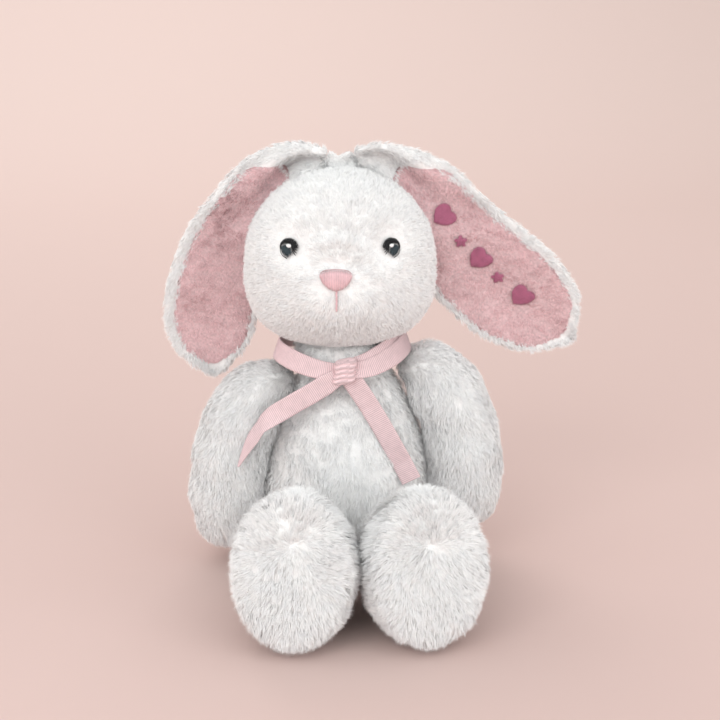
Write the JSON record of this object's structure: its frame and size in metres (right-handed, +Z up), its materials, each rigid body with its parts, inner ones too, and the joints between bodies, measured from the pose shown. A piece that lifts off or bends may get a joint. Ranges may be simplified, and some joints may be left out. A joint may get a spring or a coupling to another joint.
{
  "type": "stuffed bunny rabbit",
  "caption": "Sitting white plush bunny with pink-lined lop ears, stitched face and a grosgrain ribbon; head, ears, arms, legs and ribbon tails move.",
  "frame": {"origin": "middle of the flat seat panel, where the toy rests on a shelf or floor", "axes": "+Z up through the neck; the toy faces -Y, and its own left side is at +X"},
  "size_m": [0.2467, 0.2164, 0.2467],
  "materials": {
    "white_plush": "long soft pile, matte",
    "pink_velour": "short pile with nap streaks",
    "grosgrain_ribbon": "cross ribbed, slight sheen",
    "rose_thread": "satin stitch, soft sheen",
    "dark_thread": "satin stitch, soft sheen",
    "fibre_fill": "loose polyester fibre",
    "bean_fill": "cotton pouch of plastic beans",
    "satin_label": "woven satin, blank"
  },
  "bodies": {
    "torso": {"torso_front_panel": "white_plush", "torso_back_panel": "white_plush", "seat_panel": "white_plush", "torso_stuffing": "fibre_fill", "bean_pouch": "bean_fill", "tail_pompom": "white_plush", "blank_label": "satin_label", "neck_ribbon_band": "grosgrain_ribbon", "ribbon_knot": "grosgrain_ribbon"},
    "neck": {"neck_stuffing": "fibre_fill"},
    "head": {"face_panel": "white_plush", "head_back_panel": "white_plush", "head_stuffing": "fibre_fill", "eye_left": "dark_thread", "eye_right": "dark_thread", "nose": "rose_thread", "mouth_stitch": "rose_thread"},
    "ear_left": {"ear_left_back": "white_plush", "ear_left_lining": "pink_velour", "ear_left_motif": "rose_thread"},
    "ear_right": {"ear_right_back": "white_plush", "ear_right_lining": "pink_velour"},
    "arm_left": {"arm_left_shell": "white_plush", "arm_left_stuffing": "fibre_fill"},
    "arm_right": {"arm_right_shell": "white_plush", "arm_right_stuffing": "fibre_fill"},
    "leg_left": {"leg_left_shell": "white_plush", "sole_left": "white_plush", "leg_left_stuffing": "fibre_fill"},
    "leg_right": {"leg_right_shell": "white_plush", "sole_right": "white_plush", "leg_right_stuffing": "fibre_fill"},
    "ribbon_tail_left": {"ribbon_tail_left": "grosgrain_ribbon"},
    "ribbon_tail_right": {"ribbon_tail_right": "grosgrain_ribbon"}
  },
  "joints": [
    {"name": "head_turn", "type": "hinge", "parent": "torso", "child": "neck", "pos_m": [0, 0.004, 0.126], "axis": [0, 0, 1], "range_deg": [-35, 35], "stiffness_Nm_per_rad": 0.15},
    {"name": "head_nod", "type": "hinge", "parent": "neck", "child": "head", "pos_m": [0, 0.004, 0.126], "axis": [1, 0, 0], "range_deg": [-12, 15], "stiffness_Nm_per_rad": 1.5},
    {"name": "ear_left_lift", "type": "hinge", "parent": "head", "child": "ear_left", "pos_m": [0.001, 0.005, 0.2365], "axis": [0, -0.9833, -0.1822], "range_deg": [0, 22]},
    {"name": "ear_right_lift", "type": "hinge", "parent": "head", "child": "ear_right", "pos_m": [-0.007, 0.005, 0.2365], "axis": [0, 0.9833, 0.1822], "range_deg": [0, 40]},
    {"name": "arm_left_lift", "type": "hinge", "parent": "torso", "child": "arm_left", "pos_m": [0.031, 0, 0.117], "axis": [0, -1, 0], "range_deg": [0, 40]},
    {"name": "arm_right_lift", "type": "hinge", "parent": "torso", "child": "arm_right", "pos_m": [-0.031, 0, 0.11], "axis": [0, 1, 0], "range_deg": [0, 40]},
    {"name": "leg_left_swing", "type": "hinge", "parent": "torso", "child": "leg_left", "pos_m": [0.024, -0.041, 0.0225], "axis": [-1, 0, 0], "range_deg": [-50, 12]},
    {"name": "leg_right_swing", "type": "hinge", "parent": "torso", "child": "leg_right", "pos_m": [-0.024, -0.041, 0.0225], "axis": [-1, 0, 0], "range_deg": [-50, 12]},
    {"name": "ribbon_tail_left_lift", "type": "hinge", "parent": "torso", "child": "ribbon_tail_left", "pos_m": [-0.002, -0.0227, 0.1175], "axis": [-1, 0, 0], "range_deg": [0, 60]},
    {"name": "ribbon_tail_right_lift", "type": "hinge", "parent": "torso", "child": "ribbon_tail_right", "pos_m": [-0.002, -0.0227, 0.1175], "axis": [-1, 0, 0], "range_deg": [0, 60]}
  ]
}
